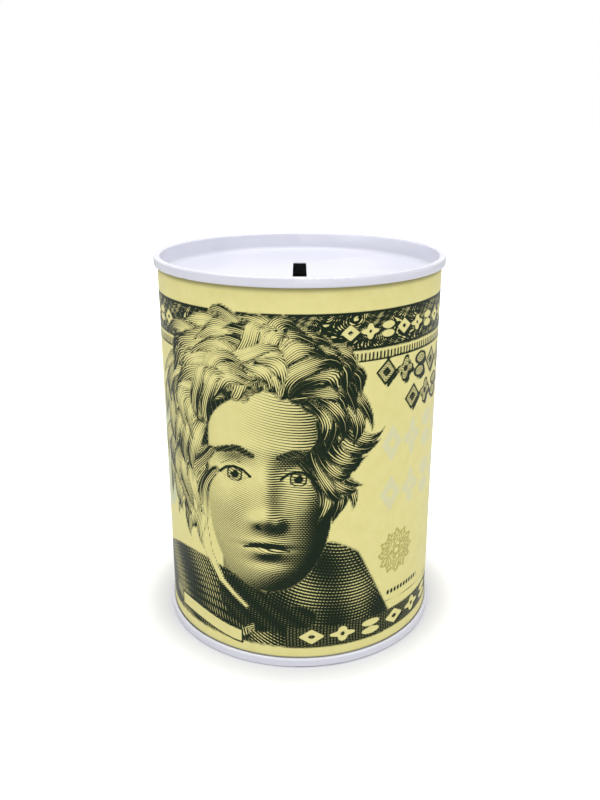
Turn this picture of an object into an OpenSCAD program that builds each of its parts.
// Sealed tinplate coin bank: a rolled can body, two double-seamed ends, a coin slot in the
// sunken top panel, and a printed label wrapped round the body and lapped at the back.
// The origin is at the middle of the bottom rim, on the surface that the can stands on.

/* [Can] */
// Overall height, from rim to rim
can_height = 116; // [90:0.5:150]
// Outside diameter of the bare tinplate body
body_d = 84.2; // [60:0.1:110]
// Thickness of the tinplate sheet
plate = 0.28; // [0.22:0.01:0.34]

/* [Double seams] */
// Height of the seam bead at each end
seam_h = 2.8; // [2.4:0.1:3.6]
// Clearance between neighbouring layers of a seam
seam_gap = 0.14; // [0.1:0.01:0.16]
// Outside corner radius of the bead
bead_r = 0.6; // [0.45:0.05:0.8]
// Clearance round the bead of sealing compound in the corner of a seam
compound_gap = 0.015; // [0.01:0.005:0.03]

/* [End panels] */
// Depth of the top panel below the top rim
top_depth = 5.6; // [4.5:0.1:10]
// Depth of the bottom panel inside the bottom rim
bottom_depth = 4; // [3.6:0.1:8]
// Radius of the fold between a panel and its wall
fold_r = 1.3; // [0.6:0.1:1.6]
// Diameter of the smaller expansion bead pressed into the bottom panel
ring_d = 46; // [20:1:50]
// Distance between the two expansion beads
ring_step = 9; // [4:0.5:10]
// Height of an expansion bead
ring_h = 0.6; // [0.3:0.1:0.9]
// Width of an expansion bead
ring_w = 3; // [2:0.1:3.6]

/* [Coin slot] */
// Length of the slot, front to back
slot_l = 25.4; // [15:0.1:40]
// Width of the slot
slot_w = 4.1; // [2:0.1:8]
// Corner radius of the slot
slot_r = 0.9; // [0.3:0.1:1]

/* [Side seam] */
// Width of the welded overlap inside the back of the body
weld_w = 1.2; // [0.6:0.1:2]
// How far the weld stands inside the wall
weld_t = 0.12; // [0.05:0.01:0.2]

/* [Label] */
// Thickness of the printed paper
label_t = 0.12; // [0.08:0.01:0.2]
// Thickness of the glue lines under and inside the label
glue_t = 0.06; // [0.04:0.01:0.08]
// Clearance on each side of a glue line
glue_gap = 0.01; // [0.005:0.005:0.02]
// Clearance between the label and the seam beads
label_end_gap = 0.15; // [0.1:0.05:0.5]
// Width of the lap at the back
lap_w = 8; // [5:0.5:14]
// Width of each glue line
glue_w = 5; // [3:0.5:8]

/* [Hidden] */
$fn = 96;

body_r = body_d / 2;
pitch = plate + seam_gap;              // from one seam layer to the next
hook_r = body_r + seam_gap + plate / 2; // middle of the cover hook, and of both upper folds
bead_half = 2 * pitch + plate / 2;     // half the width of the whole bead
fold_out = pitch + plate / 2;          // outside of a fold that wraps one layer
fold_in = fold_out - plate;            // inside of that fold
fold_z = bead_half;                    // depth of the upper folds' centres below the rim
under_z = seam_h - fold_out;           // depth of the cover hook's own fold below the rim
wall_r = hook_r - bead_half + plate;   // outside of the wall that drops to the panel
panel_r = wall_r - plate;              // inside of that wall
compound_in = fold_out / sqrt(2) + compound_gap; // compound, from the folds' centre each way
compound_out = bead_half - bead_r + (bead_r - plate) / sqrt(2) - compound_gap;
label_r = body_r + glue_t + 2 * glue_gap;
lap_r = label_r + label_t + glue_t + 2 * glue_gap;
label_z0 = seam_h + label_end_gap;
label_h = can_height - 2 * label_z0;
back = 90;                             // direction of the side seam and of the lap
riser_a = 0.5;                         // angle taken by the label's step up on to itself
enamel = [0.95, 0.95, 0.97];
tin = [0.78, 0.79, 0.80];
paper = [0.88, 0.86, 0.60];
compound = [0.35, 0.38, 0.33];
glue = [0.86, 0.80, 0.62];

function arc_angle(width, radius) = width / radius * 180 / PI;

// Upper half of a round fold, in the profile's plane
module upper_fold(outer, inner) {
    intersection() {
        difference() {
            circle(r = outer);
            circle(r = inner);
        }
        translate([-outer - 1, 0]) square([2 * outer + 2, outer + 1]);
    }
}

// Bar with two rounded upper corners, standing on y = 0
module upper_bar(half_w, height, corner) {
    intersection() {
        translate([-half_w, 0]) square([2 * half_w, height]);
        union() {
            translate([-half_w, -corner]) square([2 * half_w, height]);
            translate([corner - half_w, 0]) square([2 * (half_w - corner), height]);
            for (side = [-1, 1])
                translate([side * (half_w - corner), height - corner]) circle(r = corner);
        }
    }
}

// Profile of an end's hooked rim, with the rim at z = 0 and the can below it
module rim_profile() {
    // wide cap over the body's flange
    translate([hook_r, -fold_z]) difference() {
        upper_bar(bead_half, fold_z, bead_r);
        upper_bar(bead_half - plate, fold_z - plate, max(bead_r - plate, 0.1));
    }
    // outer wall of the bead
    translate([hook_r + bead_half - plate, -under_z]) square([plate, under_z - fold_z]);
    // fold that tucks under the body hook, and the hook itself
    translate([hook_r + pitch, -under_z]) mirror([0, 1]) upper_fold(fold_out, fold_in);
    translate([hook_r - plate / 2, -under_z]) square([plate, under_z - fold_z]);
}

// Profile of a whole end whose flat panel lies depth below the rim
module end_profile(depth) {
    rim_profile();
    translate([panel_r, -depth + fold_r]) square([plate, depth - fold_r - fold_z]);
    translate([panel_r - fold_r, -depth + fold_r]) intersection() {
        difference() {
            circle(r = fold_r + plate);
            circle(r = fold_r);
        }
        translate([0, -fold_r - plate]) square(fold_r + plate);
    }
    translate([0, -depth - plate]) square([panel_r - fold_r, plate]);
}

// Both expansion beads, or with inset the hollows behind them, standing on y = 0
module expansion_beads(inset) {
    corner = 0.9 * min(ring_h, ring_w / 2 - plate);
    for (i = [0, 1]) translate([ring_d / 2 + i * ring_step, 0])
        upper_bar(ring_w / 2 - inset, ring_h + plate - inset, corner);
}

module coin_slot() {
    half = [slot_w / 2 - slot_r, slot_l / 2 - slot_r];
    union() {
        square([slot_w, slot_l - 2 * slot_r], center = true);
        square([slot_w - 2 * slot_r, slot_l], center = true);
        for (x = [-1, 1], y = [-1, 1]) translate([x * half[0], y * half[1]]) circle(r = slot_r);
    }
}

// Wedge of the plan between two directions less than a quarter turn apart
module wedge(from_a, to_a) {
    reach = 2 * body_d;
    polygon([[0, 0], for (a = [from_a, to_a]) reach * [cos(a), sin(a)]]);
}

module ring(inner, thick) {
    difference() {
        circle(r = inner + thick);
        circle(r = inner);
    }
}

// Arc of a thin layer round the can
module layer(inner, thick, from_a, to_a, z, height) {
    translate([0, 0, z]) linear_extrude(height) intersection() {
        ring(inner, thick);
        wedge(from_a, to_a);
    }
}

// Rolled body: wall, outward flanges folded into the seams, and the weld at the back
module body_shell() {
    color(tin) {
        rotate_extrude() {
            translate([body_r - plate, fold_z]) square([plate, can_height - 2 * fold_z]);
            for (end = [0, 1]) translate([hook_r, end ? can_height - fold_z : fold_z])
                mirror([0, 1 - end]) {
                    upper_fold(fold_out, fold_in);
                    translate([fold_in, fold_z - under_z]) square([plate, under_z - fold_z]);
                }
        }
        weld_span = arc_angle(weld_w, body_r);
        layer(body_r - plate - weld_t, weld_t + plate / 2, back - weld_span / 2,
              back + weld_span / 2, top_depth + 1, can_height - 2 * top_depth - 2);
    }
}

module top_end() {
    color(enamel) difference() {
        translate([0, 0, can_height]) rotate_extrude() end_profile(top_depth);
        translate([0, 0, can_height - top_depth - 2 * plate])
            linear_extrude(3 * plate) coin_slot();
    }
}

module bottom_end() {
    color(enamel) rotate_extrude() mirror([0, 1]) difference() {
        union() {
            end_profile(bottom_depth);
            translate([0, -bottom_depth - plate]) expansion_beads(0);
        }
        translate([0, -bottom_depth - plate]) expansion_beads(plate);
    }
}

// Sealing compound, squeezed into the outer corner between an end's cap and the body's flange
module seam_compound() {
    color(compound) rotate_extrude() translate([hook_r + compound_in, compound_in - fold_z])
        square(compound_out - compound_in);
}

module top_seam_compound() {
    translate([0, 0, can_height]) seam_compound();
}

module bottom_seam_compound() {
    mirror([0, 0, 1]) seam_compound();
}

// One turn of paper, a short step outwards, and the lap over its own start
module printed_label() {
    lap_a = arc_angle(lap_w, lap_r);
    start = back - lap_a / 2;
    color(paper) union() {
        translate([0, 0, label_z0]) linear_extrude(label_h) difference() {
            ring(label_r, label_t);
            wedge(start - riser_a, start);
        }
        layer(label_r, lap_r + label_t - label_r, start - 2 * riser_a, start - riser_a,
              label_z0, label_h);
        layer(lap_r, label_t, start - 2 * riser_a, start + lap_a, label_z0, label_h);
    }
}

// Glue line that holds the label's start to the tinplate
module label_pickup_glue() {
    glue_a = arc_angle(glue_w, body_r);
    color(glue) layer(body_r + glue_gap, glue_t, back - glue_a / 2, back + glue_a / 2,
                      label_z0 + 1, label_h - 2);
}

// Glue line inside the lap
module label_lap_glue() {
    glue_a = arc_angle(glue_w, lap_r);
    color(glue) layer(label_r + label_t + glue_gap, glue_t, back - glue_a / 2,
                      back + glue_a / 2, label_z0 + 1, label_h - 2);
}

body_shell();
top_end();
bottom_end();
top_seam_compound();
bottom_seam_compound();
printed_label();
label_pickup_glue();
label_lap_glue();
